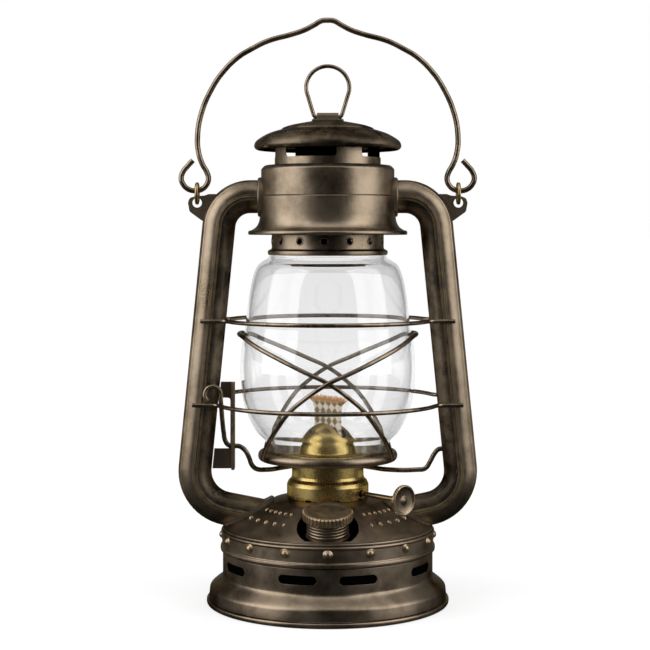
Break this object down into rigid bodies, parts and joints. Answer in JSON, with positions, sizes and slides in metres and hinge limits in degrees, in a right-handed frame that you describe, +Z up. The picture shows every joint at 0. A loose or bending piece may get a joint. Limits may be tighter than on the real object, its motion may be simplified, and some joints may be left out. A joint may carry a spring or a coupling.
{
  "type": "oil lantern",
  "caption": "Tubular oil lantern: riveted tank, flat-wick burner with knob, glass globe in a wire cage that lifts by a lever, side air tubes, lifting hood with ring, and a swinging wire bail.",
  "frame": {"origin": "centre of the base's underside, on the surface that the lantern stands on", "axes": "+Z up along the lantern's axis, -Y towards the filler cap (the front), +X towards the side tube on the viewer's right"},
  "size_m": [0.1494, 0.1206, 0.2913],
  "materials": {
    "bronze": "aged antique bronze, satin, worn to brass on edges",
    "bronze_wire": "aged antique bronze wire, rubbed bright on top",
    "brass": "satin brass, slightly tarnished",
    "glass": "clear blown glass",
    "cotton": "woven cotton, singed at its end",
    "rubber": "matt"
  },
  "bodies": {
    "frame": {"base_ring": "bronze", "base_skirt": "bronze", "tank_pan": "bronze", "tank_band": "bronze", "tank_dome": "bronze", "filler_neck": "bronze", "burner_socket": "brass", "burner_base": "brass", "burner_body": "brass", "burner_gallery": "brass", "wick_tube": "brass", "air_chamber_lower": "bronze", "air_chamber_upper": "bronze", "hood_spring_front": "bronze", "hood_spring_back": "bronze", "side_tube_left": "bronze", "side_tube_right": "bronze", "tube_foot_left": "bronze", "tube_foot_right": "bronze", "ear_left": "bronze", "ear_right": "bronze", "guard_upper_front": "bronze_wire", "guard_upper_back": "bronze_wire", "guard_lower_front": "bronze_wire", "guard_lower_back": "bronze_wire", "lever_bracket": "bronze"},
    "globe_carrier": {"globe_plate": "bronze", "burner_cone": "brass", "globe": "glass", "cage_wire_left": "bronze_wire", "cage_wire_right": "bronze_wire"},
    "lift_lever": {"lift_lever": "bronze_wire"},
    "hood": {"chimney": "bronze", "window_ring": "bronze", "flue": "bronze", "canopy": "bronze", "ring_strap": "bronze"},
    "lift_ring": {"lift_ring": "bronze_wire"},
    "links": {"link_left": "brass", "link_right": "brass"},
    "bail": {"bail": "bronze_wire"},
    "wick_knob": {"wick_knob": "brass", "wick_shaft": "brass", "feed_wheel_inner": "brass", "feed_wheel_outer": "brass"},
    "wick": {"wick": "cotton"},
    "cap_gasket": {"cap_gasket": "rubber"},
    "filler_cap": {"filler_cap": "bronze"}
  },
  "joints": [
    {"name": "globe_lift", "type": "slide", "parent": "frame", "child": "globe_carrier", "axis": [0, 0, 1], "range_m": [0, 0.008]},
    {"name": "lever_turn", "type": "hinge", "parent": "frame", "child": "lift_lever", "pos_m": [0.05662, 0, 0.0756], "axis": [0, 1, 0], "range_deg": [0, 7]},
    {"name": "hood_lift", "type": "slide", "parent": "globe_carrier", "child": "hood", "axis": [0, 0, 1], "range_m": [0, 0.008]},
    {"name": "lift_ring_tilt", "type": "hinge", "parent": "hood", "child": "lift_ring", "pos_m": [0, 0, 0.2415], "axis": [1, 0, 0], "range_deg": [-80, 80]},
    {"name": "link_swing", "type": "hinge", "parent": "frame", "child": "links", "pos_m": [0, 0, 0.1986], "axis": [1, 0, 0], "range_deg": [-33, 33]},
    {"name": "bail_swing", "type": "hinge", "parent": "links", "child": "bail", "pos_m": [0, 0, 0.2047], "axis": [1, 0, 0], "range_deg": [-75, 75]},
    {"name": "knob_turn", "type": "hinge", "parent": "frame", "child": "wick_knob", "pos_m": [0.00293, 0.00273, 0.0552], "axis": [-0.682, 0.7314, 0], "range_deg": [-240, 120]},
    {"name": "wick_raise", "type": "slide", "parent": "frame", "child": "wick", "axis": [0, 0, 1], "range_m": [-0.0101, 0.0051]},
    {"name": "cap_rise", "type": "slide", "parent": "frame", "child": "cap_gasket", "axis": [0, -0.2079, 0.9781], "range_m": [0, 0.006]},
    {"name": "cap_turn", "type": "hinge", "parent": "cap_gasket", "child": "filler_cap", "pos_m": [0, -0.0385, 0.0395], "axis": [0, -0.2079, 0.9781], "range_deg": [0, 1441]}
  ],
  "couplings": [
    {"joint": "lever_turn", "follows": "globe_lift", "rad_per_m": 15.25},
    {"joint": "wick_raise", "follows": "knob_turn", "m_per_rad": 0.0024},
    {"joint": "cap_turn", "follows": "cap_rise", "rad_per_m": 4188.8}
  ]
}
